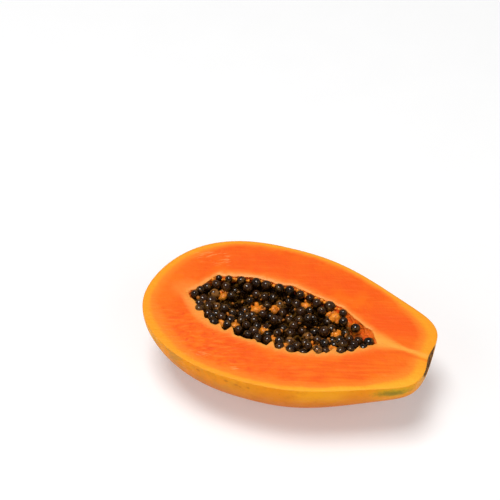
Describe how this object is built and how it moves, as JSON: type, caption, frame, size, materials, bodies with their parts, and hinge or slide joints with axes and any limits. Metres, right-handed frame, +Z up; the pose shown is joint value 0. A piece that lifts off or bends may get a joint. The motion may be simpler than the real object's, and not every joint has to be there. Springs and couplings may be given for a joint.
{
  "type": "halved papaya",
  "caption": "Ripe papaya half, cut lengthwise and lying on its belly, with thin yellow skin, orange flesh and a cavity full of round dark seeds.",
  "frame": {"origin": "middle of the bounding box, on the surface that the half rests on", "axes": "+X along the fruit to the stem end, +Y to the far side of the cut face, +Z up, out of the cut face"},
  "size_m": [0.1972, 0.1194, 0.0608],
  "materials": {
    "flesh": "moist, slightly glossy",
    "seed": "wet, glossy"
  },
  "bodies": {
    "root": {"fruit_half": "flesh", "seeds": "seed"}
  },
  "joints": []
}
